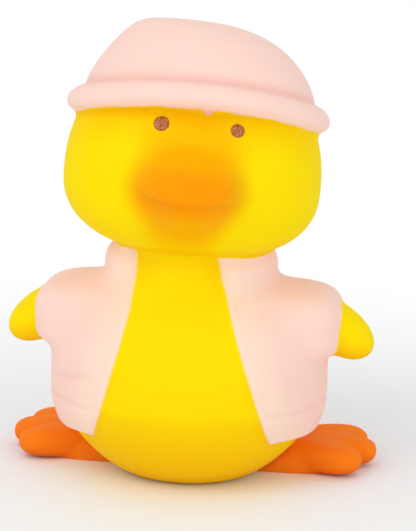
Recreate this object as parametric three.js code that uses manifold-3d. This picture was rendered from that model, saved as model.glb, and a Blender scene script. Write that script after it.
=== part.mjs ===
// A soft foam squeeze toy: a duck in a brimmed hat and an open vest, moulded and painted as one piece.
// Millimetres, +Z up. The duck faces -Y, its right side is -X, and its flat base is centred on the origin.

import * as THREE from 'three';
import { ParametricGeometry } from 'three/addons/geometries/ParametricGeometry.js';
import { mergeVertices } from 'three/addons/utils/BufferGeometryUtils.js';
import Module from 'manifold-3d';

// Body: an egg-shaped belly that narrows to the neck
const BODY_HALF_WIDTH = 34.1;
const BODY_HALF_DEPTH = 30.5;
const BELLY_HEIGHT = 22;
const BELLY_FULLNESS = 1.45;
const BASE_HALF_WIDTH = 14;
const BASE_HALF_DEPTH = 12;
const NECK_HALF_WIDTH = 16.8;
const NECK_HALF_DEPTH = 15.5;
const NECK_HEIGHT = 57.5;
const NECK_FILLET = 7;
const NECK_FLARE = 0.95;
const SHOULDER_FULLNESS = 2.2;
const CHEST_FULLNESS = 1.8;

// Head: a wide soft oval that leans and turns to the duck's left, a little to the right of the body's middle
const HEAD_HALF_WIDTH = 32.2;
const HEAD_FRONT = 27.5;
const HEAD_BACK = 26;
const HEAD_BELOW = 18.5;
const HEAD_ABOVE = 30;
const HEAD_ROUNDNESS = 2.25;
const HEAD_TILT = 4;
const HEAD_TURN = 7;
const HEAD_SHIFT = 1.6;

// Bill: two lips that meet in the mouth line, which is measured up from the head's middle
const MOUTH_RISE = 1.5;
const UPPER_LIP_HALF_WIDTH = 14.6;
const UPPER_LIP_REACH = 12;
const UPPER_LIP_HEIGHT = 12;
const LOWER_LIP_HALF_WIDTH = 13;
const LOWER_LIP_REACH = 7.5;
const LOWER_LIP_HEIGHT = 12.5;
const LIP_ROOT = 14;
const LIP_OVERLAP = 1.2;
const BILL_SHIFT = 0.2;
const LIP_ROUNDNESS = 2.4;

// Eyes: two low domes, measured up from the head's middle
const EYE_SPACING = 18.7;
const EYE_RISE = 17.5;
const EYE_RADIUS = 1.95;
const EYE_DOME = 0.35;

// Hat: a rolled brim that stands proud of the head, and a crown whose top sits towards the duck's right
const BRIM_RISE = 20.2;
const BRIM_PROUD_SIDE = 0.6;
const BRIM_PROUD_FRONT = 2.5;
const BRIM_THICKNESS = 9;
const BRIM_BAND = 6.8;
const BRIM_DROP = 3;
const HAT_LEAN = 12;
const CROWN_INSET = 4;
const CROWN_HEIGHT = 18.6;
const CROWN_TOP_HALF_WIDTH = 10;
const CROWN_TOP_HALF_DEPTH = 10;
const CROWN_TOP_SHIFT = 7;
const CROWN_FULLNESS = 1.6;
const CROWN_SWAY = 2.5;
const CROWN_SEAT = 2.5;

// Vest: a thin layer on the body with an open front, a standing collar and two short sleeves.
// The sleeves' reach is how far they stand proud of the belly's side.
const VEST_THICKNESS = 1.1;
const HEM_THICKNESS = 2.6;
const HEM_HEIGHT = 13.6;
const CHEST_HEIGHT = 44;
const RIGHT_EDGE_AT_HEM = 21;
const RIGHT_EDGE_AT_CHEST = 12.6;
const RIGHT_EDGE_AT_NECK = 12.2;
const LEFT_EDGE_AT_HEM = 23;
const LEFT_EDGE_AT_CHEST = 13.8;
const LEFT_EDGE_AT_NECK = 8.4;
const COLLAR_PROUD = 5;
const COLLAR_BAND = 11;
const COLLAR_RISE = 3;
const SLEEVE_PROUD = 4.5;
const SLEEVE_LENGTH = 31;
const SLEEVE_BAND = 18.6;
const SLEEVE_DEPTH = 29;
const SLEEVE_BELOW_NECK = 16.3;
const SLEEVE_DROOP = 3;
const SLEEVE_ROUNDNESS = 3.4;

// Wings: stubs that come out of the sleeves
const WING_PROUD = 12.6;
const WING_LENGTH = 24;
const WING_BAND = 12.4;
const WING_DEPTH = 15;
const WING_BELOW_NECK = 17.3;
const WING_DROOP = 32;
const WING_ROUNDNESS = 2.1;

// Feet: three thick toes each, fanned out to the side
const FOOT_PROUD = 13.4;
const FOOT_SETBACK = 12.5;
const TOE_LENGTH = 28;
const SIDE_TOE_LENGTH = 27;
const TOE_WIDTH = 10.6;
const TOE_THICKNESS = 7.8;
const TOE_FAN = 25;
const TOE_ROUNDNESS = 2.9;
const WEB_THICKNESS = 6.6;
const WEB_LENGTH = 30;
const WEB_WIDTH = 22;
const FOOT_ROOT = 9;

// Facets of each form, around and along it
const BODY_FACETS = [44, 26];
const VEST_FACETS = [44, 18];
const HEAD_FACETS = [44, 24];
const BRIM_FACETS = [44, 10];
const CROWN_FACETS = [40, 13];
const COLLAR_FACETS = [36, 8];
const LIMB_FACETS = [20, 12];
const LIP_FACETS = [24, 12];
const TOE_FACETS = [14, 10];
const EYE_FACETS = [12, 8];

const BODY_WIDTHS = {
  base: BASE_HALF_WIDTH,
  full: BODY_HALF_WIDTH,
  neck: NECK_HALF_WIDTH,
  fullness: SHOULDER_FULLNESS,
};
const BODY_DEPTHS = {
  base: BASE_HALF_DEPTH,
  full: BODY_HALF_DEPTH,
  neck: NECK_HALF_DEPTH,
  fullness: CHEST_FULLNESS,
};

const wasm = await Module();
wasm.setup();

const degrees = THREE.MathUtils.degToRad;
const power = (value, exponent) => Math.sign(value) * Math.abs(value) ** exponent;

// A closed solid from a surface of two parameters: the angle round it, and the share of the way up it
function closedSolid(pointAt, [around, along]) {
  const geometry = new ParametricGeometry(
    (u, v, target) => target.copy(pointAt(2 * Math.PI * u, v)),
    around,
    along,
  );
  return solidFrom(geometry);
}

// The solid of a closed geometry, with shared vertices merged and the empty triangles at its poles left out
function solidFrom(geometry) {
  geometry.deleteAttribute('normal');
  geometry.deleteAttribute('uv');
  const merged = mergeVertices(geometry);
  const corners = merged.index.array;
  const triangles = [];
  for (let i = 0; i < corners.length; i += 3) {
    const [a, b, c] = corners.slice(i, i + 3);
    if (a !== b && b !== c && c !== a) triangles.push(a, b, c);
  }
  return new wasm.Manifold(
    new wasm.Mesh({
      numProp: 3,
      vertProperties: new Float32Array(merged.attributes.position.array),
      triVerts: new Uint32Array(triangles),
    }),
  );
}

const union = (solids) => solids.reduce((whole, solid) => whole.add(solid));

// A solid turned about the X, Y and Z axes in turn and then moved
function placed(solid, [tiltX, tiltY, tiltZ], position) {
  const turn = new THREE.Euler(degrees(tiltX), degrees(tiltY), degrees(tiltZ), 'ZYX');
  const matrix = new THREE.Matrix4().makeRotationFromEuler(turn).setPosition(...position);
  return solid.transform(matrix.elements);
}

// A rounded form about the origin: an ellipsoid whose sides are fuller the more its roundness passes 2.
// Its half-sizes are given for left and right alike, for front and back, and for above and below.
function roundedForm({ side, front, back, above, below, roundness }, facets) {
  const fullness = 2 / roundness;
  return closedSolid((angle, share) => {
    const rise = Math.PI * (share - 0.5);
    const ring = power(Math.cos(rise), fullness);
    const height = power(Math.sin(rise), fullness);
    const y = power(Math.sin(angle), fullness);
    return new THREE.Vector3(
      side * ring * power(Math.cos(angle), fullness),
      (y < 0 ? front : back) * ring * y,
      (height < 0 ? below : above) * height,
    );
  }, facets);
}

// The same form, alike in front and behind and above and below
function evenForm(side, depth, height, roundness, facets) {
  const form = { side, front: depth, back: depth, above: height, below: height, roundness };
  return roundedForm(form, facets);
}

// A rolled band round the Z axis: its outer half-sizes, and the thickness and height of its oval section
function rolledBand(halfWidth, halfDepth, thickness, height, [around, along]) {
  const ringRadius = 3;
  const section = [];
  for (let i = 0; i < along; i += 1) {
    const turn = (2 * Math.PI * i) / along;
    section.push(new THREE.Vector2(ringRadius + Math.cos(turn), Math.sin(turn)));
  }
  section.push(section[0].clone());
  const band = new THREE.LatheGeometry(section, around);
  const place = band.attributes.position;
  for (let i = 0; i < place.count; i += 1) {
    const outward = new THREE.Vector2(place.getX(i), -place.getZ(i));
    const offset = (outward.length() - ringRadius - 1) * (thickness / 2);
    outward.normalize();
    place.setXYZ(
      i,
      outward.x * (halfWidth + offset),
      outward.y * (halfDepth + offset),
      (place.getY(i) * height) / 2,
    );
  }
  return solidFrom(band);
}

// How wide the body is at a height: from its base it swells in a quarter round to its full size,
// eases in to the neck, and flares again in a quarter round where the neck meets the head
function bodySize(height, { base, full, neck, fullness }) {
  if (height < BELLY_HEIGHT) {
    const below = 1 - height / BELLY_HEIGHT;
    return base + (full - base) * (1 - below ** BELLY_FULLNESS) ** (1 / BELLY_FULLNESS);
  }
  if (height < NECK_HEIGHT) {
    const rise = (height - BELLY_HEIGHT) / (NECK_HEIGHT - BELLY_HEIGHT);
    return neck + (full - neck) * Math.cos((Math.PI / 2) * rise ** fullness) ** 2;
  }
  const flare = Math.min((height - NECK_HEIGHT) / NECK_FILLET, 1);
  return neck + NECK_FILLET * (1 - Math.sqrt(1 - flare ** 2));
}

// The body's surface between two heights, grown by a layer, closed by a flat cap at each end
function bodyLayer(bottom, top, layerAt, facets) {
  const rings = facets[1] - 2;
  return closedSolid((angle, share) => {
    const ring = Math.round(share * facets[1]);
    const step = THREE.MathUtils.clamp((ring - 1) / rings, 0, 1);
    const height = bottom + (top - bottom) * (1 - Math.cos(Math.PI * step)) / 2;
    const reach = ring === 0 || ring === facets[1] ? 0 : 1;
    const width = bodySize(height, BODY_WIDTHS);
    const depth = bodySize(height, BODY_DEPTHS);
    return new THREE.Vector3(
      reach * (width + layerAt(height)) * Math.cos(angle),
      reach * (depth + layerAt(height)) * Math.sin(angle),
      height,
    );
  }, facets);
}

// One edge of the vest's open front, from the ground to above the collar, with a bend at the chest
function openingEdge(sign, atHem, atChest, atNeck) {
  const neck = NECK_HEIGHT + COLLAR_RISE;
  const slope = (atHem - atChest) / (CHEST_HEIGHT - HEM_HEIGHT);
  return [
    new THREE.Vector2(sign * (atHem + slope * HEM_HEIGHT), 0),
    new THREE.Vector2(sign * atChest, CHEST_HEIGHT),
    new THREE.Vector2(sign * atNeck, neck),
    new THREE.Vector2(sign * atNeck, neck + COLLAR_BAND),
  ];
}

// The open front of the vest: a wedge between its two edges, cut through the body's front half
function vestOpening() {
  const left = openingEdge(1, LEFT_EDGE_AT_HEM, LEFT_EDGE_AT_CHEST, LEFT_EDGE_AT_NECK);
  const right = openingEdge(-1, RIGHT_EDGE_AT_HEM, RIGHT_EDGE_AT_CHEST, RIGHT_EDGE_AT_NECK);
  const outline = new THREE.Shape([...left, ...right.reverse()]);
  const depth = 2 * BODY_HALF_DEPTH;
  const wedge = new THREE.ExtrudeGeometry(outline, { depth, bevelEnabled: false });
  wedge.rotateX(Math.PI / 2);
  return solidFrom(wedge);
}

function body() {
  return bodyLayer(0, NECK_HEIGHT + NECK_FLARE * NECK_FILLET, () => 0, BODY_FACETS);
}

// The vest is one thickness down to the belly's widest place, and from there it thickens to its hem
function vestThickness(height) {
  const hang = THREE.MathUtils.clamp((BELLY_HEIGHT - height) / (BELLY_HEIGHT - HEM_HEIGHT), 0, 1);
  return THREE.MathUtils.lerp(VEST_THICKNESS, HEM_THICKNESS, hang);
}

// The collar is the outer half of a rolled band whose middle lies on the neck's side
function vest() {
  const layer = bodyLayer(HEM_HEIGHT, NECK_HEIGHT, vestThickness, VEST_FACETS);
  const collar = rolledBand(
    NECK_HALF_WIDTH + COLLAR_PROUD,
    NECK_HALF_DEPTH + COLLAR_PROUD,
    2 * COLLAR_PROUD,
    COLLAR_BAND,
    COLLAR_FACETS,
  );
  const standing = collar.translate([0, 0, NECK_HEIGHT + COLLAR_RISE - COLLAR_BAND / 2]);
  const sleeves = [-1, 1].map(sleeve);
  return union([layer, standing, ...sleeves]).subtract(vestOpening());
}

// A stub that leaves the body sideways and droops, and stands proud of the belly's side
function stub(sign, { proud, length, band, depth, belowNeck, droop, roundness }) {
  const form = evenForm(length / 2, depth / 2, band / 2, roundness, LIMB_FACETS);
  const angle = degrees(droop);
  const span = Math.hypot((length / 2) * Math.cos(angle), (band / 2) * Math.sin(angle));
  const middle = [sign * (BODY_HALF_WIDTH + proud - span), 0, NECK_HEIGHT - belowNeck];
  return placed(form, [0, sign * droop, 0], middle);
}

function sleeve(sign) {
  return stub(sign, {
    proud: SLEEVE_PROUD,
    length: SLEEVE_LENGTH,
    band: SLEEVE_BAND,
    depth: SLEEVE_DEPTH,
    belowNeck: SLEEVE_BELOW_NECK,
    droop: SLEEVE_DROOP,
    roundness: SLEEVE_ROUNDNESS,
  });
}

function wing(sign) {
  return stub(sign, {
    proud: WING_PROUD,
    length: WING_LENGTH,
    band: WING_BAND,
    depth: WING_DEPTH,
    belowNeck: WING_BELOW_NECK,
    droop: WING_DROOP,
    roundness: WING_ROUNDNESS,
  });
}

// A toe that runs out from the ankle at an angle behind or in front of the sideways line
function toe(sign, fan, length) {
  const form = evenForm(length / 2, TOE_WIDTH / 2, TOE_THICKNESS / 2, TOE_ROUNDNESS, TOE_FACETS);
  const ankle = BODY_HALF_WIDTH + FOOT_PROUD - TOE_LENGTH;
  const angle = degrees(fan);
  return placed(form, [0, 0, sign * fan], [
    sign * (ankle + (length / 2) * Math.cos(angle)),
    FOOT_SETBACK + (length / 2) * Math.sin(angle),
    TOE_THICKNESS / 2,
  ]);
}

function foot(sign) {
  const web = evenForm(WEB_LENGTH / 2, WEB_WIDTH / 2, WEB_THICKNESS, TOE_ROUNDNESS, TOE_FACETS);
  const webMiddle = BODY_HALF_WIDTH + FOOT_PROUD - FOOT_ROOT - WEB_LENGTH / 2;
  return union([
    toe(sign, 0, TOE_LENGTH),
    toe(sign, TOE_FAN, SIDE_TOE_LENGTH),
    toe(sign, -TOE_FAN, SIDE_TOE_LENGTH),
    web.translate([sign * webMiddle, FOOT_SETBACK, 0]),
  ]);
}

// The head and everything on it are built about the head's middle
function skull() {
  const form = {
    side: HEAD_HALF_WIDTH,
    front: HEAD_FRONT,
    back: HEAD_BACK,
    above: HEAD_ABOVE,
    below: HEAD_BELOW,
    roundness: HEAD_ROUNDNESS,
  };
  return roundedForm(form, HEAD_FACETS);
}

function bill() {
  const lips = [
    {
      side: UPPER_LIP_HALF_WIDTH,
      front: LIP_ROOT + UPPER_LIP_REACH,
      back: LIP_ROOT,
      above: UPPER_LIP_HEIGHT,
      below: LIP_OVERLAP,
      roundness: LIP_ROUNDNESS,
    },
    {
      side: LOWER_LIP_HALF_WIDTH,
      front: LIP_ROOT + LOWER_LIP_REACH,
      back: LIP_ROOT,
      above: LIP_OVERLAP,
      below: LOWER_LIP_HEIGHT,
      roundness: LIP_ROUNDNESS,
    },
  ];
  const root = LIP_ROOT - HEAD_FRONT;
  const whole = union(lips.map((lip) => roundedForm(lip, LIP_FACETS)));
  return whole.translate([-BILL_SHIFT, root, MOUTH_RISE]);
}

// How far in front of the head's middle its surface lies, at a place across and above that middle
function faceDepth(across, rise) {
  const level = Math.abs(rise / (rise < 0 ? HEAD_BELOW : HEAD_ABOVE)) ** HEAD_ROUNDNESS;
  const beside = Math.abs(across / HEAD_HALF_WIDTH) ** HEAD_ROUNDNESS;
  return HEAD_FRONT * (1 - level - beside) ** (1 / HEAD_ROUNDNESS);
}

function eye(sign) {
  const across = (sign * EYE_SPACING) / 2;
  const bead = evenForm(EYE_RADIUS, EYE_DOME * 2, EYE_RADIUS, 2, EYE_FACETS);
  const depth = faceDepth(across, EYE_RISE);
  const slope = (faceDepth(across, EYE_RISE - 1) - faceDepth(across, EYE_RISE + 1)) / 2;
  const lean = THREE.MathUtils.radToDeg(Math.atan(slope));
  const turn = THREE.MathUtils.radToDeg(Math.atan2(across, HEAD_HALF_WIDTH ** 2 / depth));
  return placed(bead, [-lean, 0, turn], [across, EYE_DOME - depth, EYE_RISE]);
}

// The crown narrows from the brim to its top in a round shoulder, and its middle moves to the duck's right
function crown() {
  const halfWidth = HEAD_HALF_WIDTH + BRIM_PROUD_SIDE - CROWN_INSET;
  const halfDepth = HEAD_FRONT + BRIM_PROUD_FRONT - CROWN_INSET;
  const rings = CROWN_FACETS[1] - 3;
  return closedSolid((angle, share) => {
    const ring = Math.round(share * CROWN_FACETS[1]);
    const step = THREE.MathUtils.clamp((ring - 2) / rings, 0, 1);
    const rise = Math.sin((Math.PI / 2) * step);
    const narrowing = 1 - (1 - rise ** CROWN_FULLNESS) ** (1 / CROWN_FULLNESS);
    const reach = ring === 0 || ring === CROWN_FACETS[1] ? 0 : 1;
    const height = ring < 2 ? -CROWN_SEAT : CROWN_HEIGHT * rise;
    const width = THREE.MathUtils.lerp(halfWidth, CROWN_TOP_HALF_WIDTH, narrowing);
    const depth = THREE.MathUtils.lerp(halfDepth, CROWN_TOP_HALF_DEPTH, narrowing);
    return new THREE.Vector3(
      reach * width * Math.cos(angle) - CROWN_TOP_SHIFT * narrowing ** CROWN_SWAY,
      reach * depth * Math.sin(angle),
      height,
    );
  }, CROWN_FACETS);
}

function hat() {
  const halfWidth = HEAD_HALF_WIDTH + BRIM_PROUD_SIDE;
  const brim = rolledBand(
    halfWidth,
    HEAD_FRONT + BRIM_PROUD_FRONT,
    BRIM_THICKNESS,
    BRIM_BAND,
    BRIM_FACETS,
  );
  const drooping = brim.warp((point) => {
    point[2] -= BRIM_DROP * (point[0] / halfWidth) ** 2;
  });
  return placed(drooping.add(crown()), [-HAT_LEAN, 0, 0], [0, 0, BRIM_RISE]);
}

// The head stands on the neck, and leans and turns there
function head() {
  const whole = union([skull(), bill(), eye(-1), eye(1), hat()]).translate([0, 0, HEAD_BELOW]);
  return placed(whole, [0, HEAD_TILT, HEAD_TURN], [-HEAD_SHIFT, 0, NECK_HEIGHT]);
}

// Everything above the ground, so that the belly and the soles end in flat faces
function aboveGround() {
  const far = 2 * (NECK_HEIGHT + HEAD_BELOW + HEAD_ABOVE + CROWN_HEIGHT);
  const block = new THREE.BoxGeometry(2 * far, 2 * far, far);
  block.translate(0, 0, far / 2);
  return solidFrom(block);
}

const limbs = [-1, 1].flatMap((sign) => [wing(sign), foot(sign)]);
const duckSolid = union([body(), vest(), ...limbs, head()]).intersect(aboveGround());

const { vertProperties, triVerts } = duckSolid.getMesh();
const duckGeometry = new THREE.BufferGeometry();
duckGeometry.setAttribute('position', new THREE.BufferAttribute(vertProperties, 3));
duckGeometry.setIndex(new THREE.BufferAttribute(triVerts, 1));
duckGeometry.computeVertexNormals();

const yellowFoam = new THREE.MeshStandardMaterial({ color: 0xffe003, roughness: 0.75, metalness: 0 });
const duck = new THREE.Mesh(duckGeometry, yellowFoam);
duck.name = 'duck';

const group = new THREE.Group();
group.add(duck);

export default group;
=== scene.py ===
import math

import bpy
import numpy as np
from mathutils import Matrix, Vector


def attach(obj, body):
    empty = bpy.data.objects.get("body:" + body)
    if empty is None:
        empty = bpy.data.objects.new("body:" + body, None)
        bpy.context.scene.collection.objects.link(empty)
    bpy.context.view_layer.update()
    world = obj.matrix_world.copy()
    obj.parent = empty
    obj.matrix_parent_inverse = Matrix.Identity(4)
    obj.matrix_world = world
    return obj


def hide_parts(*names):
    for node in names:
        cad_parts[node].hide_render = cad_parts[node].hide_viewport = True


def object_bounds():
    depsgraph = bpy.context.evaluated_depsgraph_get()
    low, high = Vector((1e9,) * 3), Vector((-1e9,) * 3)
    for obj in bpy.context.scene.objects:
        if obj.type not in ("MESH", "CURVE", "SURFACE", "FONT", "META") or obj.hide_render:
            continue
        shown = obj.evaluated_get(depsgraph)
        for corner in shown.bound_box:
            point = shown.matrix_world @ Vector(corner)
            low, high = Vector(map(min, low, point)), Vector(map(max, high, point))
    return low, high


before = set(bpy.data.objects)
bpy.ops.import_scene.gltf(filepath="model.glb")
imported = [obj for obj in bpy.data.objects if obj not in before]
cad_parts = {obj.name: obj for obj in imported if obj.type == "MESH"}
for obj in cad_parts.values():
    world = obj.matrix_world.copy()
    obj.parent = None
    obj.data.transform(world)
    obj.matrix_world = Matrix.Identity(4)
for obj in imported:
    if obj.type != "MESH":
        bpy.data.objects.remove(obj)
cad_low, cad_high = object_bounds()

# Body
# The belly, shoulders and neck are one egg-shaped form of soft foam, which came out of the mould
# with the rest of the duck. It stands on a flat patch under the belly.

MM = 0.001
BELLY_HEIGHT = 22.0
BELLY_FULLNESS = 1.45
NECK_HEIGHT = 57.5
NECK_FILLET = 7.0
NECK_FLARE = 0.95
BODY_WIDTHS = {"base": 14.0, "full": 34.1, "neck": 16.8, "fullness": 2.2}
BODY_DEPTHS = {"base": 12.0, "full": 30.5, "neck": 15.5, "fullness": 1.8}

forms = []


def closed_form(rings):
    """A closed surface from rings (levels, around, 3): quads join each ring to the next, and a fan
    of triangles joins the first and the last ring to their own middles."""
    levels, around, _ = rings.shape
    points = np.vstack([rings.reshape(-1, 3), rings[0].mean(0), rings[-1].mean(0)])
    place = np.arange(levels * around).reshape(levels, around)
    beside = np.roll(place, -1, axis=1)
    quads = np.stack([place[:-1], beside[:-1], beside[1:], place[1:]], -1).reshape(-1, 4)
    low = np.full(around, levels * around)
    bottom = np.stack([beside[0], place[0], low], -1)
    top = np.stack([place[-1], beside[-1], low + 1], -1)
    return points, quads.tolist() + bottom.tolist() + top.tolist()


def add_form(points, faces):
    """Keeps a closed form for the mould, its faces numbered after those of the forms before it."""
    start = sum(len(placed) for placed, _ in forms)
    forms.append((points, [[start + corner for corner in face] for face in faces]))


def body_size(height, base, full, neck, fullness):
    """Half-size at a height: a rounded swell from the base to the belly, a squared-cosine ease from
    the belly to the neck, and a quarter round that flares again above the neck."""
    below = np.clip(1 - height / BELLY_HEIGHT, 0, 1)
    swell = base + (full - base) * (1 - below**BELLY_FULLNESS) ** (1 / BELLY_FULLNESS)
    rise = np.clip((height - BELLY_HEIGHT) / (NECK_HEIGHT - BELLY_HEIGHT), 0, 1)
    ease = neck + (full - neck) * np.cos(math.pi / 2 * rise**fullness) ** 2
    flare = np.clip((height - NECK_HEIGHT) / NECK_FILLET, 0, 1)
    round_up = neck + NECK_FILLET * (1 - np.sqrt(1 - flare**2))
    return np.where(height < BELLY_HEIGHT, swell, np.where(height < NECK_HEIGHT, ease, round_up))


def body_point(angle, height, layer):
    """The body's surface, grown by a layer: an ellipse at each height, with the angle measured from
    the duck's front towards its left."""
    width = body_size(height, **BODY_WIDTHS) + layer
    depth = body_size(height, **BODY_DEPTHS) + layer
    return np.stack([width * np.sin(angle), -depth * np.cos(angle), height], -1)


def eased(low, high, steps):
    """Steps from low to high that lie closer together near both ends, as on a half circle."""
    return low + (high - low) * (1 - np.cos(np.linspace(0, math.pi, steps))) / 2


def round_about(steps):
    """Even steps of a full turn."""
    return np.linspace(0, 2 * math.pi, steps, endpoint=False)


height, angle = np.meshgrid(
    eased(0, NECK_HEIGHT + NECK_FLARE * NECK_FILLET, 110), round_about(160), indexing="ij"
)
add_form(*closed_form(body_point(angle, height, 0)))

# Vest
# An open vest, moulded as a layer that stands about a millimetre proud of the body and thickens to
# its hem. A rolled collar stands round the neck, and two short puffed sleeves leave the shoulders.

VEST_THICKNESS = 1.1
HEM_THICKNESS = 2.6
HEM_HEIGHT = 13.6
VEST_ROOT = -2.5
EDGE_HEIGHTS = (HEM_HEIGHT, 22.0, 30.0, 38.0, 46.0, 54.0, NECK_HEIGHT + 3)
RIGHT_EDGE = (-21.0, -18.3, -16.1, -13.9, -12.3, -11.9, -12.2)
LEFT_EDGE = (23.0, 21.0, 18.6, 16.0, 12.9, 9.8, 8.4)
EDGE_THICKNESS = 0.8
EDGE_TAPER = 6.0
BEHIND = 30.0
TINY = 1e-6
COLLAR_PROUD = 5.0
COLLAR_BAND = 11.0
COLLAR_RISE = 3.0
COLLAR_END = 3.0
COLLAR_END_SHARE = 0.35
SLEEVE = {"proud": 4.5, "length": 31.0, "band": 18.6, "depth": 29.0}
SLEEVE |= {"below_neck": 16.3, "droop": 3.0, "roundness": 3.4}


def beside_opening(points):
    """How far points lie beside the opening, across the duck. Each edge runs in straight lines between
    the places given. Points behind the duck's middle count as far."""
    x, y, z = points.T
    right, left = (np.interp(z, EDGE_HEIGHTS, edge) for edge in (RIGHT_EDGE, LEFT_EDGE))
    return np.where(y < 0, np.maximum(right - x, x - left), BEHIND)


def vest_layer(points):
    """The vest's thickness: even down to the belly, then thicker in a straight line to the hem, and
    thinned to a sheet's edge over the last few millimetres beside the opening."""
    hang = np.clip((BELLY_HEIGHT - points[..., 2]) / (BELLY_HEIGHT - HEM_HEIGHT), 0, 1)
    full = VEST_THICKNESS + (HEM_THICKNESS - VEST_THICKNESS) * hang
    beside = beside_opening(points.reshape(-1, 3)).reshape(full.shape)
    return EDGE_THICKNESS + (full - EDGE_THICKNESS) * np.clip(beside / EDGE_TAPER, 0, 1)


def slab(outer, inner):
    """A closed sheet from its outer and inner grids (rows, columns, 3): each cross-section down a
    column is one ring, out along the outer side and back along the inner one."""
    rings = np.concatenate([outer, inner[::-1]], axis=0)
    return closed_form(np.swapaxes(rings, 0, 1)[:, ::-1])


def round_body(height, steps):
    """Angles round the body from one edge of the opening, round the back, to the other edge."""
    width = body_size(height, **BODY_WIDTHS)
    left = np.arcsin(np.clip(np.interp(height, EDGE_HEIGHTS, LEFT_EDGE) / width, 0, 1))
    right = np.arcsin(np.clip(np.interp(height, EDGE_HEIGHTS, RIGHT_EDGE) / width, -1, 0))
    return left + (2 * math.pi + right - left) * np.linspace(0, 1, steps)[None, :]


height = eased(HEM_HEIGHT, NECK_HEIGHT, 80)[:, None]
angle = round_body(height, 220)
height = height + np.zeros_like(angle)
layer = vest_layer(body_point(angle, height, 0))
add_form(*slab(body_point(angle, height, layer), body_point(angle, height, VEST_ROOT)))


def axes_turned(x=0.0, y=0.0, z=0.0):
    """The matrix that turns about X, then Y, then Z, in degrees."""
    about_x, about_y, about_z = (
        Matrix.Rotation(math.radians(degrees), 3, axis)
        for degrees, axis in ((x, "X"), (y, "Y"), (z, "Z"))
    )
    return np.array(about_z @ about_y @ about_x)


class Place:
    """Where a form lies in the duck: its own axes, turned and then moved."""

    def __init__(self, turn, move):
        self.turn, self.move = turn, np.asarray(move, float)

    def out(self, points):
        """From the form's own axes to the duck's."""
        return points @ self.turn.T + self.move

    def home(self, points):
        """From the duck's axes to the form's own."""
        return (points - self.move) @ self.turn

    def then(self, outer):
        """This place carried along by an outer one."""
        return Place(outer.turn @ self.turn, outer.turn @ self.move + outer.move)


class Rounded:
    """A rounded form about its own middle, with half-sizes to the side, front, back, above and below.
    It is an ellipsoid whose exponent, its roundness, is 2 for an oval and larger for fuller sides."""

    def __init__(self, side, front, back, above, below, roundness, place):
        self.side, self.front, self.back = side, front, back
        self.above, self.below = above, below
        self.roundness, self.place = roundness, place

    def rings(self, levels=60, around=96):
        """x, y and z are the half-sizes times cosines and sines raised to 2 / roundness, signs kept."""
        rise = np.linspace(-math.pi / 2, math.pi / 2, levels + 2)[1:-1, None]
        angle = round_about(around)[None, :]
        bent = lambda value: np.sign(value) * np.abs(value) ** (2 / self.roundness)
        y, z = bent(np.sin(angle)), bent(np.sin(rise))
        points = np.stack(
            [
                self.side * bent(np.cos(rise)) * bent(np.cos(angle)),
                np.where(y < 0, self.front, self.back) * bent(np.cos(rise)) * y,
                np.where(z < 0, self.below, self.above) * z + 0 * angle,
            ],
            -1,
        )
        return self.place.out(points)

    def distance(self, points):
        """How far points lie outside the form, measured along the ray from its middle."""
        x, y, z = self.place.home(points).T
        shares = [
            x / self.side,
            y / np.where(y < 0, self.front, self.back),
            z / np.where(z < 0, self.below, self.above),
        ]
        size = sum(np.abs(share) ** self.roundness for share in shares) ** (1 / self.roundness)
        return np.sqrt(x**2 + y**2 + z**2) * (1 - 1 / np.maximum(size, TINY))


def stub(sign, proud, length, band, depth, below_neck, droop, roundness):
    """A rounded form that leaves the body sideways, droops, and stands proud of the belly's side."""
    fall = math.radians(droop)
    span = math.hypot(length / 2 * math.cos(fall), band / 2 * math.sin(fall))
    middle = [sign * (BODY_WIDTHS["full"] + proud - span), 0, NECK_HEIGHT - below_neck]
    place = Place(axes_turned(y=sign * droop), middle)
    return Rounded(length / 2, depth / 2, depth / 2, band / 2, band / 2, roundness, place)


sleeves = [stub(sign, **SLEEVE) for sign in (-1, 1)]
for sleeve in sleeves:
    add_form(*closed_form(sleeve.rings()))

collar_width = BODY_WIDTHS["neck"]
collar_depth = BODY_DEPTHS["neck"]
collar_middle = NECK_HEIGHT + COLLAR_RISE - COLLAR_BAND / 2


def collar_rings():
    """An oval section carried round the neck from one edge of the opening to the other; its size falls
    off in a quarter round over the last few millimetres of each end."""
    start = math.asin(LEFT_EDGE[-1] / collar_width)
    end = 2 * math.pi + math.asin(RIGHT_EDGE[-1] / collar_width)
    angle = eased(start, end, 150)[:, None]
    left = np.minimum(angle - start, end - angle) * collar_width
    full = np.sqrt(np.clip(1 - (1 - np.clip(left / COLLAR_END, 0, 1)) ** 2, 0.02, 1))
    turn = round_about(40)[None, ::-1]
    out = COLLAR_PROUD * full * np.cos(turn)
    rise = COLLAR_BAND / 2 * (COLLAR_END_SHARE + (1 - COLLAR_END_SHARE) * full) * np.sin(turn)
    return np.stack(
        [
            (collar_width + out) * np.sin(angle),
            -(collar_depth + out) * np.cos(angle),
            collar_middle + rise,
        ],
        -1,
    )


def collar_distance(points):
    """How far points lie outside the collar's oval section, whichever way round the neck they are."""
    x, y, z = points.T
    reach = np.hypot(x / collar_width, y / collar_depth)
    out = (reach - 1) * (collar_width + collar_depth) / 2 / COLLAR_PROUD
    rise = (z - collar_middle) / (COLLAR_BAND / 2)
    return (np.hypot(out, rise) - 1) * (COLLAR_PROUD + COLLAR_BAND / 2) / 2


add_form(*closed_form(collar_rings()))

# Wings
# Two blunt stubs of bare yellow foam, moulded with the body. They come out of the sleeves and
# droop below them.

WING = {"proud": 12.6, "length": 24.0, "band": 12.4, "depth": 15.0}
WING |= {"below_neck": 17.3, "droop": 32.0, "roundness": 2.1}

wings = [stub(sign, **WING) for sign in (-1, 1)]
for wing in wings:
    add_form(*closed_form(wing.rings()))

# Feet
# Each foot is a thick pad with three blunt toes, fanned out to the side. The grooves between the
# toes run out before they reach the body, and the soles are flat.

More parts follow.
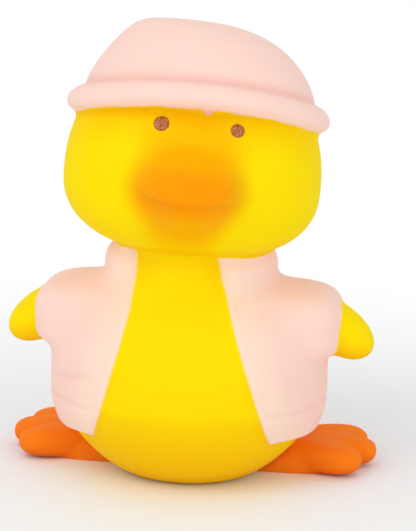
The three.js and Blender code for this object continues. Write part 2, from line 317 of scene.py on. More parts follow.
FOOT_PROUD = 13.4
FOOT_SETBACK = 12.5
TOE_LENGTH = 28.0
SIDE_TOE_LENGTH = 27.0
TOE_WIDTH = 10.6
TOE_THICKNESS = 7.8
TOE_FAN = 25.0
TOE_ROUNDNESS = 2.9
WEB_LENGTH = 30.0
WEB_WIDTH = 22.0
WEB_THICKNESS = 6.6
FOOT_ROOT = 9.0


def toe(sign, fan, length):
    """A rounded form that runs out from the ankle, at an angle to the sideways line."""
    ankle = BODY_WIDTHS["full"] + FOOT_PROUD - TOE_LENGTH
    spread = math.radians(fan)
    middle = [
        sign * (ankle + length / 2 * math.cos(spread)),
        FOOT_SETBACK + length / 2 * math.sin(spread),
        TOE_THICKNESS / 2,
    ]
    half = (TOE_WIDTH / 2, TOE_WIDTH / 2, TOE_THICKNESS / 2, TOE_THICKNESS / 2)
    return Rounded(length / 2, *half, TOE_ROUNDNESS, Place(axes_turned(z=sign * fan), middle))


def web(sign):
    """The upper half of a wide rounded pad, which joins the toes to the body."""
    middle = sign * (BODY_WIDTHS["full"] + FOOT_PROUD - FOOT_ROOT - WEB_LENGTH / 2)
    half = (WEB_WIDTH / 2, WEB_WIDTH / 2, WEB_THICKNESS, WEB_THICKNESS)
    place = Place(axes_turned(), [middle, FOOT_SETBACK, 0])
    return Rounded(WEB_LENGTH / 2, *half, TOE_ROUNDNESS, place)


feet = []
for sign in (-1, 1):
    feet += [toe(sign, 0, TOE_LENGTH), toe(sign, TOE_FAN, SIDE_TOE_LENGTH)]
    feet += [toe(sign, -TOE_FAN, SIDE_TOE_LENGTH), web(sign)]
for part in feet:
    add_form(*closed_form(part.rings()))

# Head
# A wide soft oval that leans and turns to the duck's left. The bill is two thick lips that swell out
# of the face and meet in the mouth line.

HEAD_BELOW = 18.5
HEAD_TILT = 4.0
HEAD_TURN = 7.0
HEAD_SHIFT = 1.6
HEAD_FRONT = 27.5
HEAD_BACK = 26.0
HEAD_ABOVE = 30.0
HEAD_HALF_WIDTH = 32.2
HEAD_ROUNDNESS = 2.36
MOUTH_RISE = 1.5
BILL_SHIFT = 0.2
LIP_ROOT = 14.0
LIP_EDGE = 1.2
UPPER_LIP = {"side": 14.6, "front": LIP_ROOT + 12.25, "back": LIP_ROOT}
UPPER_LIP |= {"above": 12.0, "below": LIP_EDGE, "roundness": 2.4}
LOWER_LIP = {"side": 12.6, "front": LIP_ROOT + 8.5, "back": LIP_ROOT}
LOWER_LIP |= {"above": LIP_EDGE, "below": 12.8, "roundness": 2.05}

neck_place = Place(axes_turned(y=HEAD_TILT, z=HEAD_TURN), [-HEAD_SHIFT, 0, NECK_HEIGHT])
head_place = Place(np.eye(3), [0, 0, HEAD_BELOW]).then(neck_place)
head_half = (HEAD_HALF_WIDTH, HEAD_FRONT, HEAD_BACK, HEAD_ABOVE, HEAD_BELOW)
skull = Rounded(*head_half, HEAD_ROUNDNESS, head_place)
lip_place = Place(np.eye(3), [-BILL_SHIFT, LIP_ROOT - HEAD_FRONT, MOUTH_RISE]).then(head_place)
upper_lip = Rounded(**UPPER_LIP, place=lip_place)
lower_lip = Rounded(**LOWER_LIP, place=lip_place)
for part in (skull, upper_lip, lower_lip):
    add_form(*closed_form(part.rings(levels=90, around=140)))

# Hat
# A soft hat with a rolled brim, moulded on the head. The brim tips back and droops at the sides,
# and the crown slopes up to a flat top that sits towards the duck's right.

BRIM_RISE = 20.2
BRIM_THICKNESS = 9.0
BRIM_BAND = 6.8
BRIM_DROP = 3.0
HAT_LEAN = 12.0
BRIM_HALF_WIDTH = HEAD_HALF_WIDTH + 0.6
BRIM_HALF_DEPTH = HEAD_FRONT + 2.5
CROWN_INSET = 4.0
CROWN_HEIGHT = 18.6
CROWN_TOP = 10.0
CROWN_TOP_SHIFT = 7.0
CROWN_FULLNESS = 1.6
CROWN_SWAY = 2.5
CROWN_SEAT = 2.5

hat_place = Place(axes_turned(x=-HAT_LEAN), [0, 0, BRIM_RISE]).then(head_place)


def brim_rings():
    """An oval section carried round an ellipse, lowered at the sides by the square of x."""
    turn = round_about(48)[:, None]
    angle = round_about(200)[None, :]
    width, depth = (
        half - BRIM_THICKNESS / 2 + BRIM_THICKNESS / 2 * np.cos(turn)
        for half in (BRIM_HALF_WIDTH, BRIM_HALF_DEPTH)
    )
    x = width * np.cos(angle)
    rise = BRIM_BAND / 2 * np.sin(turn) - BRIM_DROP * (x / BRIM_HALF_WIDTH) ** 2
    return hat_place.out(np.stack([x, depth * np.sin(angle), rise], -1))


def closed_loop(rings):
    """A closed ring-shaped surface: quads join each ring to the next, and the last to the first."""
    turns, around, _ = rings.shape
    place = np.arange(turns * around).reshape(turns, around)
    beside = np.roll(place, -1, axis=1)
    after = np.roll(place, -1, axis=0)
    quads = np.stack([place, beside, np.roll(beside, -1, axis=0), after], -1)
    return rings.reshape(-1, 3), quads.reshape(-1, 4).tolist()


def crown_rings():
    """The crown narrows from the brim to its top by a superellipse of its height, while its middle
    moves to the duck's right by a power of that narrowing."""
    rise = np.sin(np.linspace(0, math.pi / 2, 60))[:, None]
    angle = round_about(160)[None, :]
    narrowing = 1 - (1 - rise**CROWN_FULLNESS) ** (1 / CROWN_FULLNESS)
    width = BRIM_HALF_WIDTH - CROWN_INSET
    depth = BRIM_HALF_DEPTH - CROWN_INSET
    x = (width + (CROWN_TOP - width) * narrowing) * np.cos(angle)
    x = x - CROWN_TOP_SHIFT * narrowing**CROWN_SWAY
    y = (depth + (CROWN_TOP - depth) * narrowing) * np.sin(angle)
    wall = np.stack([x, y, CROWN_HEIGHT * rise + 0 * angle], -1)
    seat = wall[:1] - [0, 0, CROWN_SEAT]
    return hat_place.out(np.concatenate([seat, wall]))


add_form(*closed_loop(brim_rings()))
add_form(*closed_form(crown_rings()))

# Skin
# The mould melts all of these forms into one skin. They are joined, remeshed and eased, so that the
# creases between them fill as they do in poured foam. Lengths are in millimetres.

VOXEL = 0.67
SMOOTH_IN = 0.5
SMOOTH_OUT = 0.52
FIRST_ROUNDS = 8
LAST_ROUNDS = 3
FILL_ROUNDS = 90
FILL_STEP = 0.6
ROUNDS_PER_NORMAL = 6
FILL = {"anywhere": 0.10, "arm": 1.0, "under_arm": 0.3, "collar": 0.5, "bill": 0.9, "toes": 0.25}
FILL_REACH = {"arm": 5.0, "collar": 3.0, "bill": 5.0, "toes": 2.5}
VEST_PROUD = 1.0
UNDER_LIP_SPARED = 0.35
UNDER_LIP_AT = -1.0
UNDER_LIP_SPREAD = 3.0
UNDER_LIP_REACH = 1.5
EASE_ROUNDS = 120
EASE_STEP = 0.5
BILL_EASE = 0.22
BILL_EASE_SPREAD = 4.0
CROWN_EASE_FROM = 7.0
CROWN_EASE_FULL = 13.0


def moulded(voxel):
    """One skin round all the forms: their meshes joined and remeshed at an even size."""
    mesh = bpy.data.meshes.new("forms")
    points = np.vstack([placed for placed, _ in forms]) * MM
    mesh.from_pydata(points, [], [face for _, faces in forms for face in faces])
    melt = bpy.data.objects.new("forms", mesh)
    bpy.context.scene.collection.objects.link(melt)
    remesh = melt.modifiers.new("melt", "REMESH")
    remesh.mode = "VOXEL"
    remesh.voxel_size = voxel * MM
    whole = melt.evaluated_get(bpy.context.evaluated_depsgraph_get())
    skin = bpy.data.meshes.new_from_object(whole)
    bpy.data.objects.remove(melt)
    bpy.data.meshes.remove(mesh)
    return skin


def numbers(items, name, width, kind):
    """One property of the vertices, edges or loops of a mesh: a row for each, of that width."""
    values = np.empty(len(items) * width, kind)
    items.foreach_get(name, values)
    return values.reshape(-1, width)


skin = moulded(VOXEL)
count = len(skin.vertices)
spots = numbers(skin.vertices, "co", 3, float) / MM
corners = numbers(skin.loops, "vertex_index", 1, int).reshape(-1, 4)
edges = numbers(skin.edges, "vertices", 2, int)
one_end, other_end = np.concatenate([edges, edges[:, ::-1]]).T
neighbours = np.bincount(one_end, minlength=count)


def summed(where, values):
    """Adds up rows of values by the vertex that each belongs to."""
    return np.stack([np.bincount(where, column, count) for column in values.T], -1)


def neighbour_mean(values):
    """The mean of the values at each vertex's neighbours."""
    return summed(one_end, values[other_end]) / neighbours[:, None]


def outward(points):
    """The normal at each vertex: the sum of the crossed diagonals of the faces round it."""
    a, b, c, d = (points[corners[:, k]] for k in range(4))
    facing = np.cross(c - a, d - b)
    total = summed(corners.ravel(), np.repeat(facing, 4, axis=0))
    return total / np.linalg.norm(total, axis=1, keepdims=True)


def hollowness(points, normal):
    """How far each vertex lies below its neighbours' mean, along the normal."""
    return np.einsum("ij,ij->i", neighbour_mean(points) - points, normal)


def smoothed(points, rounds):
    """Each round draws every vertex towards its neighbours' mean, and then pushes it out again by a
    little more, so that the steps of the remesh go and the size stays."""
    for _ in range(rounds):
        points = points + SMOOTH_IN * (neighbour_mean(points) - points)
        points = points - SMOOTH_OUT * (neighbour_mean(points) - points)
    return points


def bell(values, spread):
    """A hump that is 1 at 0 and falls off as the exponential of the square over the spread."""
    return np.exp(-(values**2) / spread)


def ramp(values, low, high):
    """0 at low and 1 at high, straight between them."""
    return np.clip((values - low) / (high - low), 0, 1)


def both_near(first, second, reach):
    """1 where two forms meet, falling off as a bell with the distance from either."""
    return bell(np.hypot(np.maximum(first, 0), np.maximum(second, 0)), reach**2)


def body_distance(points):
    """How far points lie outside the body, along the level line from its axis."""
    x, y, z = points.T
    reach = np.hypot(x / body_size(z, **BODY_WIDTHS), y / body_size(z, **BODY_DEPTHS))
    return np.hypot(x, y) * (1 - 1 / np.maximum(reach, TINY))


def nearest(parts, points):
    """How far points lie outside the nearest of several parts."""
    return np.min([part.distance(points) for part in parts], axis=0)


in_hat = hat_place.home(spots)
to_vest = body_distance(spots) - VEST_PROUD
to_skull = skull.distance(spots)
to_bill = nearest([upper_lip, lower_lip], spots)
to_toes = np.sort([part.distance(spots) for part in feet], axis=0)
below_arm = spots[:, 2] < NECK_HEIGHT - SLEEVE["below_neck"]
arm_fill = np.where(below_arm, FILL["under_arm"], FILL["arm"])

melting = np.maximum.reduce(
    [
        np.where(in_hat[:, 2] > 0, 0.0, FILL["anywhere"]),
        arm_fill * both_near(to_vest, nearest(sleeves, spots), FILL_REACH["arm"]),
        FILL["collar"] * both_near(to_vest, collar_distance(spots), FILL_REACH["collar"]),
        FILL["bill"] * both_near(to_skull, to_bill, FILL_REACH["bill"]),
        FILL["toes"] * both_near(to_toes[0], to_toes[1], FILL_REACH["toes"]),
    ]
)
above_lip = lip_place.home(spots)[:, 2] - UNDER_LIP_AT
under_lip = bell(above_lip, UNDER_LIP_SPREAD) * (to_bill < UNDER_LIP_REACH)
melting *= 1 - UNDER_LIP_SPARED * under_lip
up_crown = ramp(in_hat[:, 2], CROWN_EASE_FROM, CROWN_EASE_FULL)
bill_front = bell(np.maximum(to_bill, 0), BILL_EASE_SPREAD) * ramp(to_skull, 0, 3)
easing = np.maximum(up_crown, BILL_EASE * bill_front)[:, None]

spots = smoothed(spots, FIRST_ROUNDS)
for step in range(FILL_ROUNDS):
    if step % ROUNDS_PER_NORMAL == 0:
        normal = outward(spots)
    pull = np.maximum(hollowness(spots, normal), 0)
    spots += (FILL_STEP * melting * pull)[:, None] * normal
for _ in range(EASE_ROUNDS):
    spots += EASE_STEP * easing * (neighbour_mean(spots) - spots)
spots[:, 2] += up_crown * (cad_high[2] / MM - spots[:, 2].max())
spots = smoothed(spots, LAST_ROUNDS)

# Relief
# The face and the vest's small details, raised or sunk on the skin: two low eye domes, a bead along
# the vest's opening, its seam line and fold, and the crease over the hat's brim.

EYE_SPACING = 18.45
EYE_SHIFT = 0.65
EYE_RISE = 17.58
EYE_RADII = {-1: 1.92, 1: 1.74}
EYE_DOME = 0.35
AWAY = 9.0
PAINT_RISE = 0.2
DRIP_LENGTH = 1.25
DRIP_AT = 2.4
DRIP_HALF_WIDTH = 1.2
NECKLINE_GAP = 0.3
CUFF_DEPTH = 2.0
CUFF_OVERLAP = 0.1
HEM_OVERLAP = 0.2
BEAD_INSET = 0.9
BEAD_SPREAD = 0.6
BEAD_HEIGHT = 0.3
SEAM_RISE = 8.0
SEAM_DEPTH = 0.35
FOLD_AT = -26.0
FOLD_RISE = 28.6
FOLD_SLOPE = 0.29
FOLD_HALF_LENGTH = 5.2
FOLD_DEPTH = 0.4
LINE_SPREAD = 0.35
CREASE_DEPTH = 0.15
CREASE_FULL = 0.03

normal = outward(spots)
x, y, z = spots.T
in_head = head_place.home(spots)
in_hat = hat_place.home(spots)
to_body = body_distance(spots)
to_wing = nearest(wings, spots)
to_collar = collar_distance(spots)
to_skull = skull.distance(spots)

across = EYE_SPACING / 2
shares = (EYE_RISE / HEAD_ABOVE, across / HEAD_HALF_WIDTH)
left_over = 1 - sum(share**HEAD_ROUNDNESS for share in shares)
eye_depth = HEAD_FRONT * left_over ** (1 / HEAD_ROUNDNESS)
eye = np.full(count, -AWAY)
for sign, radius in EYE_RADII.items():
    middle = np.array([sign * across + EYE_SHIFT, -eye_depth, EYE_RISE])
    eye = np.maximum(eye, radius - np.linalg.norm(in_head - middle, axis=1))
dome = EYE_DOME * np.sqrt(np.clip(1 - (1 - eye / EYE_RADII[-1]) ** 2, 0, 1))

# The paint's edge below the brim wavers by a tenth of a millimetre, and has run in one place.
wobble = 0.108 * np.sin(0.45 * x + 1.3) + 0.06 * np.sin(1.1 * x - 0.4 * z)
drop = BRIM_DROP * (in_hat[:, 0] / BRIM_HALF_WIDTH) ** 2
drip = DRIP_LENGTH * np.exp(-(((in_hat[:, 0] - DRIP_AT) / DRIP_HALF_WIDTH) ** 4)) * (in_hat[:, 1] < 0)
up_brim = in_hat[:, 2] + drop
hat = up_brim + BRIM_BAND / 2 - PAINT_RISE + wobble + drip

beside = beside_opening(spots)
above_hem = z - HEM_HEIGHT
below_chin = to_skull - np.maximum(to_collar, 0) - NECKLINE_GAP
inside_cuff = np.maximum(to_wing - nearest(sleeves, spots), to_wing - CUFF_DEPTH)
vest = np.minimum.reduce(
    [beside, above_hem + HEM_OVERLAP, below_chin, inside_cuff + CUFF_OVERLAP]
)
foot = to_body - nearest(feet, spots)
foot = np.minimum(foot, np.where(z < HEM_HEIGHT, AWAY, -AWAY)) - np.maximum(above_hem, 0)

on_edge = (above_hem > 0.5) * (z < NECK_HEIGHT) * (to_skull > 1)
bead = bell(beside - BEAD_INSET, BEAD_SPREAD) * on_edge
seam = bell(above_hem - SEAM_RISE, LINE_SPREAD) * np.clip(beside / 2, 0, 1) * (to_body < 5)
along_fold = x - FOLD_AT
fold = bell(z - FOLD_RISE - FOLD_SLOPE * along_fold, LINE_SPREAD) * (y < -4)
fold = fold * np.exp(-((along_fold / FOLD_HALF_LENGTH) ** 4))
crease = ramp(hollowness(spots, normal), 0, CREASE_FULL) * (in_hat[:, 2] > 0)
lift = dome + BEAD_HEIGHT * bead
lift = lift - SEAM_DEPTH * seam - FOLD_DEPTH * fold - CREASE_DEPTH * crease
spots = spots + lift[:, None] * normal
spots = np.clip(spots, np.array(cad_low) / MM, np.array(cad_high) / MM)
skin.vertices.foreach_set("co", (spots * MM).ravel())

# Paint
# The foam itself is yellow. The hat and vest are sprayed pale pink and the feet orange, through
# masks, and the bill freehand in orange with soft edges. The eyes are two printed brown dots.
# Shade is painted into the colours too: in creases, where surfaces face down, under the chin, below
# the brim and in the crease over it, low on the vest and along its seam and fold, and partly in the
# warm patch over the middle of the face. The vest is painted paler towards its opening, as if lit.

SPRAY_SLANT = (0.234, 0.972)
SPRAY_ROUNDNESS = 2.4
SPRAY_SHIFT = 0.87
SPRAY_HALF_WIDTH = 12.3
SPRAY_NARROWING = 2.3
SPRAY_NARROWS = (-3.2, -11.2)
SPRAY_MIDDLE = -3.3
SPRAY_ABOVE = 10.4
SPRAY_BELOW = 11.4
LIPS_MIDDLE = -3.5
LIPS_HALF_BAND = 6.0
MIST_AND_SHADE_SHIFT = 0.25
MIST_AND_SHADE_HALF_WIDTH = 13.2
MIST_AND_SHADE_MIDDLE = 9.0
MIST_AND_SHADE_ABOVE = 8.5
MIST_AND_SHADE_BELOW = 11.0
HOLLOW_SHADE_ROUNDS = 12
HOLLOW_SHADE_SPARED = 0.7
FACE_REACH = 4.0
BRIM_SHADE_DEPTH = 10.0
BRIM_SHADE_FADE = 18.0
BRIM_SHADE_MIDDLE = 0.1
BRIM_SHADE_RIGHT = 0.45
BRIM_SHADE_LEFT = 0.2
CHIN_SHADOW_REACH = 3.4
BRIM_CREASE_SHADE_RISE = 0.6
BRIM_CREASE_SHADE_SPREAD = 1.6
SHADE_BELOW_START = 0.15
SHADE_BELOW_ON_HEAD = 0.12
PAINTS = {
    "foam": (255, 224, 0),
    "foam shaded in a crease": (253, 192, 0),
    "foam in a cloud": (255, 215, 0),
    "foam shaded below": (255, 184, 0),
    "chin_shadow": (250, 178, 0),
    "mist_and_shade": (254, 193, 0),
    "brim_shade": (253, 182, 0),
    "bill": (254, 180, 0),
    "lips": (254, 155, 0),
    "foot": (253, 130, 24),
    "foot shaded in a crease": (206, 88, 22),
    "foot shaded below": (226, 96, 20),
    "pink": (255, 215, 202),
    "pink shaded in a crease": (250, 196, 178),
    "pink in a cloud": (254, 222, 208),
    "pink shaded over the brim": (248, 198, 186),
    "vest shaded low down": (252, 202, 188),
    "vest's lines in shade": (246, 190, 178),
    "vest's front in light": (255, 226, 204),
    "eye": (158, 88, 50),
    "eye's specks": (212, 146, 104),
    "eye's rim": (132, 62, 30),
}


def colour(red, green, blue):
    """A colour as seen on screen, from 0 to 255, in the linear values that the shader takes."""
    shares = [value / 255 for value in (red, green, blue)]
    return tuple(s / 12.92 if s <= 0.04045 else ((s + 0.055) / 1.055) ** 2.4 for s in shares) + (1,)


def rounded_patch(across, rise):
    """1 on the edge of a patch between an oval and a box, from shares of its half-sizes."""
    total = np.abs(across) ** SPRAY_ROUNDNESS + np.abs(rise) ** SPRAY_ROUNDNESS
    return total ** (1 / SPRAY_ROUNDNESS)


# Painted shade in creases and hollows: how far each vertex lies below its neighbours, spread out over a
# few rounds, and partly spared under the brim, which has painted shade of its own.
hollow_shade = hollowness(spots, outward(spots))
for _ in range(HOLLOW_SHADE_ROUNDS):
    hollow_shade = neighbour_mean(hollow_shade[:, None])[:, 0]
on_face = to_skull < FACE_REACH
under_brim = np.clip(1 + hat / BRIM_SHADE_DEPTH, 0, 1) * (hat < 0) * on_face
hollow_shade *= 1 - HOLLOW_SHADE_SPARED * under_brim * ramp(in_head[:, 0], -14, -4)

in_bill = lip_place.home(spots)
behind = np.where(in_bill[:, 1] < 6, 0, AWAY)
bill_level = SPRAY_SLANT[1] * in_bill[:, 2] + SPRAY_SLANT[0] * in_bill[:, 1]
half_width = SPRAY_HALF_WIDTH - SPRAY_NARROWING * ramp(bill_level, *SPRAY_NARROWS)
bill_side = (in_bill[:, 0] + SPRAY_SHIFT) / half_width
bill_rise = bill_level - SPRAY_MIDDLE
bill_rise = bill_rise / np.where(bill_rise > 0, SPRAY_ABOVE, SPRAY_BELOW)
spray = rounded_patch(bill_side, bill_rise) + behind
lips = rounded_patch(bill_side, (bill_level - LIPS_MIDDLE) / LIPS_HALF_BAND) + behind
# A wide orange-yellow patch over the middle of the face, from the bill up towards the brim: partly the
# bill's spray mist and partly painted shade from the brim.
mist_and_shade_rise = bill_level - MIST_AND_SHADE_MIDDLE
mist_and_shade_rise = mist_and_shade_rise / np.where(mist_and_shade_rise > 0, MIST_AND_SHADE_ABOVE, MIST_AND_SHADE_BELOW)
mist_and_shade = np.hypot((in_bill[:, 0] + MIST_AND_SHADE_SHIFT) / MIST_AND_SHADE_HALF_WIDTH, mist_and_shade_rise) + behind
# A painted shadow on the head's underside where it meets the collar.
chin_shadow = both_near(to_skull, to_collar, CHIN_SHADOW_REACH) * (to_collar > to_skull)
# Painted shade in the crease where the crown meets the top of the brim.
brim_crease_shade = bell(up_brim - BRIM_BAND / 2 - BRIM_CREASE_SHADE_RISE, BRIM_CREASE_SHADE_SPREAD) * (to_skull > 1)
# Painted shade where surfaces face down, weaker on the head.
below = np.clip(SHADE_BELOW_START - normal[:, 2], 0, 1) * np.where(z < NECK_HEIGHT, 1, SHADE_BELOW_ON_HEAD)
# Painted shade on the face just below the brim, fading downwards and round the sides of the head; it is
# faint in the middle and strongest towards the duck's right.
brim_shade_share = BRIM_SHADE_MIDDLE + BRIM_SHADE_RIGHT * ramp(in_head[:, 0], -4, -20)
brim_shade_share = brim_shade_share + BRIM_SHADE_LEFT * ramp(in_head[:, 0], 6, 14)
brim_shade = np.clip(1 + (hat - 0.3) / BRIM_SHADE_DEPTH, 0, 1) * ramp(in_head[:, 1], 0, -BRIM_SHADE_FADE)
brim_shade = brim_shade * on_face * brim_shade_share
painted = {"hat": hat, "vest": vest, "foot": foot, "eye": eye, "hollow_shade": hollow_shade, "below": below}
painted |= {"spray": spray, "lips": lips, "mist_and_shade": mist_and_shade, "brim_shade": brim_shade, "chin_shadow": chin_shadow}
painted |= {"brim_crease_shade": brim_crease_shade, "beside": beside, "line_shade": 0.7 * seam + fold}
for name, values in painted.items():
    layer = skin.attributes.new(name, "FLOAT", "POINT")
    layer.data.foreach_set("value", values.astype(np.float32))
skin.shade_smooth()
skin.name = "painted_duck"
duck = bpy.data.objects.new("painted_duck", skin)
bpy.context.scene.collection.objects.link(duck)


class Value:
    """A number in a shader: arithmetic on it adds the Math nodes."""

    def __init__(self, tree, socket):
        self.tree, self.socket = tree, socket

    def _math(self, operation, *values):
        return self.tree.node("ShaderNodeMath", {"operation": operation}, dict(enumerate(values)))

    def __add__(self, other):
        return self._math("ADD", self, other)

    __radd__ = __add__

    def __sub__(self, other):
        return self._math("SUBTRACT", self, other)

    def __rsub__(self, other):
        return self._math("SUBTRACT", other, self)

    def __mul__(self, other):
        return self._math("MULTIPLY", self, other)

    __rmul__ = __mul__

    def or_more(self, other):
        return self._math("MAXIMUM", self, other)


class Tree:
    """The nodes of a material or a world, each added by one call."""

    def __init__(self, owner):
        self.owner = owner
        owner.use_nodes = True
        self.nodes, self.links = owner.node_tree.nodes, owner.node_tree.links
        self.nodes.clear()

    def node(self, kind, settings, inputs, output=0):
        """One node: its settings, the values or links of its sockets, and the output to use."""
        made = self.nodes.new(kind)
        for key, value in settings.items():
            setattr(made, key, value)
        for key, value in inputs.items():
            if isinstance(value, Value):
                self.links.new(value.socket, made.inputs[key])
            else:
                made.inputs[key].default_value = value
        return Value(self, made.outputs[output])

    def paint(self, name):
        """The layer of that name on the skin."""
        return self.node("ShaderNodeAttribute", {"attribute_name": name}, {}, "Fac")

    def step(self, value, low, high):
        """0 at low and 1 at high, with an eased rise between them."""
        inputs = {"Value": value, "From Min": low, "From Max": high}
        return self.node("ShaderNodeMapRange", {"interpolation_type": "SMOOTHSTEP"}, inputs)

    def mix(self, share, first, second):
        """The first colour, with that share of the second."""
        return self.node("ShaderNodeMix", {"data_type": "RGBA"}, {0: share, 6: first, 7: second}, 2)

    def noise(self, place, scale, detail):
        """Noise about 0.5; the scale counts its waves in a metre."""
        inputs = {"Vector": place, "Scale": scale, "Detail": detail, "Lacunarity": 2.17}
        return self.node("ShaderNodeTexNoise", {}, inputs, "Fac")

    def ray(self, *kinds):
        """1 where the ray is of one of these kinds."""
        first, *others = (self.node("ShaderNodeLightPath", {}, {}, f"Is {kind} Ray") for kind in kinds)
        for other in others:
            first = first.or_more(other)
        return first

    def finish(self, shader, kind="Material"):
        """Joins the shader to the output of the material or the world."""
        output = self.nodes.new(f"ShaderNodeOutput{kind}")
        self.links.new(shader.socket, output.inputs["Surface"])


paints = {name: colour(*seen) for name, seen in PAINTS.items()}
foam = Tree(bpy.data.materials.new("painted_foam"))
place = foam.node("ShaderNodeTexCoord", {}, {}, "Object")
up_duck = foam.node("ShaderNodeSeparateXYZ", {}, {0: place}, "Z")
turned = foam.node("ShaderNodeMapping", {}, {"Vector": place, "Rotation": (0.6, 0.4, 0.9)})
cloud = foam.noise(turned, 45.0, 2.0)
speck = foam.noise(turned, 420.0, 3.0)
grain = foam.noise(turned, 1500.0, 2.0)
ink = foam.noise(turned, 2600.0, 1.0)
# Painted shade in creases and hollows, used on the yellow, orange and pink below.
crease_shade = foam.step(foam.paint("hollow_shade"), 0.0, 0.030)
ragged = (cloud - 0.5) * 0.5

yellow = foam.mix(crease_shade * 0.8, paints["foam"], paints["foam shaded in a crease"])
yellow = foam.mix(cloud * 0.2, yellow, paints["foam in a cloud"])
# Painted shade where the foam faces down.
yellow = foam.mix(foam.paint("below") * 0.8, yellow, paints["foam shaded below"])
# Painted shadow under the chin.
yellow = foam.mix(foam.paint("chin_shadow") * 0.4, yellow, paints["chin_shadow"])
# Partly spray mist and partly painted shade over the middle of the face.
yellow = foam.mix(foam.step(foam.paint("mist_and_shade"), 1.3, 0.5) * 0.85, yellow, paints["mist_and_shade"])
# Painted shade below the brim.
yellow = foam.mix(foam.paint("brim_shade"), yellow, paints["brim_shade"])
sprayed = foam.step(foam.paint("spray") + ragged * 0.12, 1.44, 0.79)
on_lips = foam.step(foam.paint("lips") + ragged * 0.12, 1.5, 0.5)
yellow = foam.mix(sprayed * 0.97, yellow, paints["bill"])
yellow = foam.mix(on_lips * sprayed, yellow, paints["lips"])

orange = foam.mix(crease_shade, paints["foot"], paints["foot shaded in a crease"])
# Painted shade where the feet face down.
orange = foam.mix(foam.paint("below") * 0.6, orange, paints["foot shaded below"])

pink = foam.mix(crease_shade * 0.8, paints["pink"], paints["pink shaded in a crease"])
pink = foam.mix(cloud * 0.3, pink, paints["pink in a cloud"])
# Painted shade in the crease over the brim.
pink = foam.mix(foam.paint("brim_crease_shade") * 0.7, pink, paints["pink shaded over the brim"])
# Painted shade on the vest, darkest near the hem and gone by about 48 mm up.
low_shade = foam.step(up_duck, 0.048, 0.014)
# Painted light: the vest paler towards its opening, where its front faces the lamps.
lit_near_opening = foam.step(foam.paint("beside"), 12.0, 0.5)
vest_pink = foam.mix(low_shade * 0.5, pink, paints["vest shaded low down"])
# Painted shade along the vest's sunk seam and fold.
vest_pink = foam.mix(foam.paint("line_shade") * 0.4, vest_pink, paints["vest's lines in shade"])
vest_pink = foam.mix(lit_near_opening * 0.75, vest_pink, paints["vest's front in light"])

eye_rim = foam.step(foam.paint("eye"), 0.5, 0.0)
eye_brown = foam.mix(foam.step(ink, 0.38, 0.66), paints["eye"], paints["eye's specks"])
eye_brown = foam.mix(eye_rim * 0.7, eye_brown, paints["eye's rim"])

foot_share = foam.step(foam.paint("foot") + ragged * 0.4, -0.3, 0.3)
vest_share = foam.step(foam.paint("vest") + ragged * 0.4, -0.35, 0.45)
hat_share = foam.step(foam.paint("hat") + ragged * 0.4, -0.2, 0.25)
eye_share = foam.step(foam.paint("eye") + (ink - 0.5) * 0.5, -0.16, 0.16)
coat = foam.mix(foot_share, yellow, orange)
coat = foam.mix(vest_share, coat, vest_pink)
coat = foam.mix(hat_share, coat, pink)
coat = foam.mix(eye_share, coat, eye_brown)
skin_bump = {"Strength": 0.10, "Distance": 0.0004, "Height": speck * 0.7 + grain * 0.3}
shader = foam.node(
    "ShaderNodeBsdfPrincipled",
    {},
    {
        "Base Color": coat,
        "Roughness": 0.56 + 0.10 * speck - 0.22 * eye_share,
        "Normal": foam.node("ShaderNodeBump", {}, skin_bump, "Normal"),
        "Specular IOR Level": 0.05,
        "Subsurface Weight": 0.22,
        "Subsurface Radius": (1.0, 0.55, 0.25),
        "Subsurface Scale": 0.004,
    },
)
foam.finish(shader)
duck.data.materials.append(foam.owner)
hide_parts("duck")
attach(duck, "root")

# Floor and light
# A plain pale floor that keeps the duck's shadow and fades to white away from it, a white surround,
# and three soft lamps at a plain level.

FLOOR_REACH = 3.0
FADE_FROM = 0.06
FADE_TO = 0.22
SURROUND = 0.78
LAMPS_AIM = (0, 0, 0.06)

floor_mesh = bpy.data.meshes.new("floor")
floor_corners = FLOOR_REACH * np.array([(-1, -1, 0), (1, -1, 0), (1, 1, 0), (-1, 1, 0)])
floor_mesh.from_pydata(floor_corners, [], [(0, 1, 2, 3)])
floor = bpy.data.objects.new("floor", floor_mesh)
bpy.context.scene.collection.objects.link(floor)
ground = Tree(bpy.data.materials.new("pale_floor"))
floor_place = ground.node("ShaderNodeTexCoord", {}, {}, "Object")
away = ground.node("ShaderNodeVectorMath", {"operation": "LENGTH"}, {0: floor_place}, "Value")
fade = ground.step(away, FADE_FROM, FADE_TO) * ground.ray("Camera", "Glossy", "Transmission")
matt = ground.node("ShaderNodeBsdfDiffuse", {}, {"Color": colour(247, 251, 255)})
glow = ground.node("ShaderNodeEmission", {}, {"Color": (1, 1, 1, 1), "Strength": 1.0})
ground.finish(ground.node("ShaderNodeMixShader", {}, {0: fade, 1: matt, 2: glow}))
floor_mesh.materials.append(ground.owner)

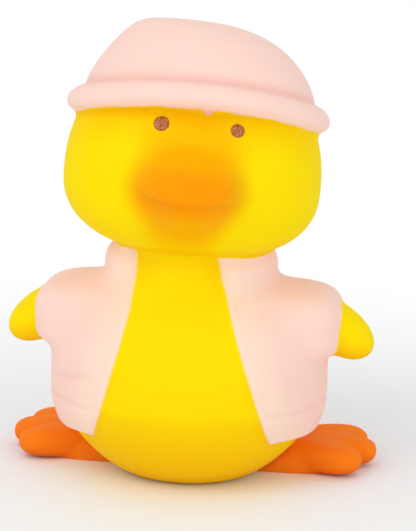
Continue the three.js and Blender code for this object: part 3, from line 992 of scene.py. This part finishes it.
studio = Tree(bpy.data.worlds.new("studio"))
bpy.context.scene.world = studio.owner
strength = SURROUND + (1 - SURROUND) * studio.ray("Camera", "Glossy", "Transmission")
white = {"Color": (1, 1, 1, 1), "Strength": strength}
studio.finish(studio.node("ShaderNodeBackground", {}, white), "World")


def soft_lamp(name, power, size, place):
    """A square lamp that looks at the duck's middle."""
    light = bpy.data.lights.new(name, "AREA")
    light.energy, light.size = power, size
    lamp = bpy.data.objects.new(name, light)
    lamp.location = place
    lamp.rotation_euler = (Vector(LAMPS_AIM) - lamp.location).to_track_quat("-Z", "Y").to_euler()
    bpy.context.scene.collection.objects.link(lamp)


soft_lamp("key", power=1.35, size=0.5, place=(-0.35, -0.55, 0.65))
soft_lamp("fill", power=0.75, size=0.6, place=(0.6, -0.5, 0.3))
soft_lamp("low", power=0.3, size=0.3, place=(-0.1, -0.6, 0.05))

# Camera
# A long lens a little above the duck and to its left, rolled slightly. It looks at the duck's
# middle from about 70 cm. Lengths are in millimetres.

AZIMUTH = math.radians(7.5)
ELEVATION = math.radians(13.5315)
ROLL = math.radians(1.3312)
DISTANCE = 707.8
LENS = 190.34
AIM_SIDEWAYS = 4.14
AIM_HEIGHT = 54.15
AIM_LOWERED = 0.42

right = Vector((math.cos(AZIMUTH), math.sin(AZIMUTH), 0))
level_back = Vector((math.sin(AZIMUTH), -math.cos(AZIMUTH), 0))
back = level_back * math.cos(ELEVATION) + Vector((0, 0, math.sin(ELEVATION)))
up = back.cross(right)
target = right * AIM_SIDEWAYS + Vector((0, 0, AIM_HEIGHT)) - up * AIM_LOWERED
right_rolled = math.cos(ROLL) * right + math.sin(ROLL) * up
up_rolled = math.cos(ROLL) * up - math.sin(ROLL) * right
turn = Matrix((right_rolled, up_rolled, back)).transposed()
camera = bpy.data.objects.new("camera", bpy.data.cameras.new("camera"))
camera.data.lens = LENS
camera.data.clip_start = 0.05
camera.matrix_world = Matrix.Translation((target + back * DISTANCE) * MM) @ turn.to_4x4()
bpy.context.scene.collection.objects.link(camera)
bpy.context.scene.camera = camera
bpy.context.scene.view_settings.view_transform = "Standard"
